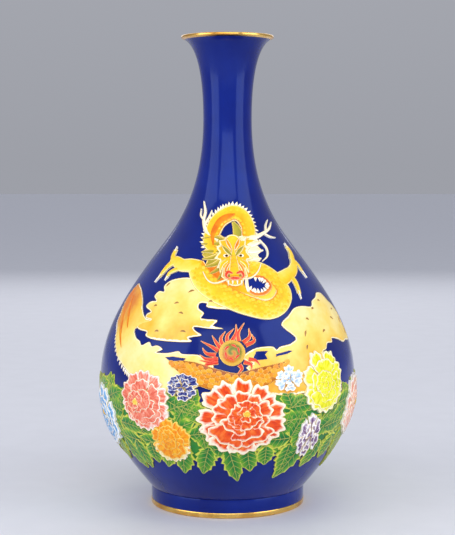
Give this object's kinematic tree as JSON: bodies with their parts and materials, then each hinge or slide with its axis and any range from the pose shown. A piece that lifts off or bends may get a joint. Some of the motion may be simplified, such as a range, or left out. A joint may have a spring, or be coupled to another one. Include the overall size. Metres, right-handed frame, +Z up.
{
  "type": "cloisonne vase",
  "caption": "Tall pear-shaped vase with a flared mouth: copper body, gilt lip and foot rings, blue enamel ground with enamelled dragon, cloud, pearl and peony cells.",
  "frame": {"origin": "centre of the foot ring's resting face, at the bottom centre of the whole vase", "axes": "+Z up along the vase's axis, -Y out of the front with the dragon's head and the large red peony, +X to the right seen from the front"},
  "size_m": [0.208, 0.208, 0.38],
  "materials": {
    "gilt": "polished gilt",
    "copper": "plain hammered copper",
    "blue_enamel": "polished gloss enamel",
    "lining_enamel": "satin counter enamel",
    "dragon_gold": "polished gloss enamel",
    "cloud_cream": "polished gloss enamel",
    "pearl_olive": "polished gloss enamel",
    "flame_red": "polished gloss enamel",
    "leaf_green": "polished gloss enamel",
    "petal_red": "polished gloss enamel",
    "petal_pink": "polished gloss enamel",
    "petal_orange": "polished gloss enamel",
    "petal_yellow": "polished gloss enamel",
    "petal_violet": "polished gloss enamel",
    "petal_blue": "polished gloss enamel",
    "petal_indigo": "polished gloss enamel",
    "petal_pale_blue": "polished gloss enamel"
  },
  "bodies": {
    "root": {"base_enamel": "lining_enamel", "base_plate": "copper", "belly_shell": "copper", "body_lining": "lining_enamel", "cloud_left": "cloud_cream", "cloud_right": "cloud_cream", "coil_ground": "blue_enamel", "dragon_body": "dragon_gold", "dragon_head": "dragon_gold", "dragon_hind_body": "dragon_gold", "dragon_left_arm": "dragon_gold", "dragon_neck": "dragon_gold", "dragon_right_arm": "dragon_gold", "dragon_tail": "dragon_gold", "flaming_pearl": "pearl_olive", "floor_lining": "lining_enamel", "flower_indigo": "petal_indigo", "flower_pale_blue": "petal_pale_blue", "flower_violet": "petal_violet", "foot_collar": "copper", "foot_enamel": "blue_enamel", "foot_rim": "gilt", "leaf_garland": "leaf_green", "lower_enamel": "blue_enamel", "mouth_rim": "gilt", "neck_enamel": "blue_enamel", "neck_lining": "lining_enamel", "neck_loop_ground": "blue_enamel", "neck_shell": "copper", "pearl_flame_left": "flame_red", "pearl_flame_top": "flame_red", "peony_back_red": "petal_red", "peony_back_white": "petal_pale_blue", "peony_back_yellow": "petal_yellow", "peony_blue": "petal_blue", "peony_orange": "petal_orange", "peony_pink": "petal_pink", "peony_red": "petal_red", "peony_salmon": "petal_pink", "peony_yellow": "petal_yellow", "shoulder_enamel": "blue_enamel", "shoulder_shell": "copper"}
  },
  "joints": []
}
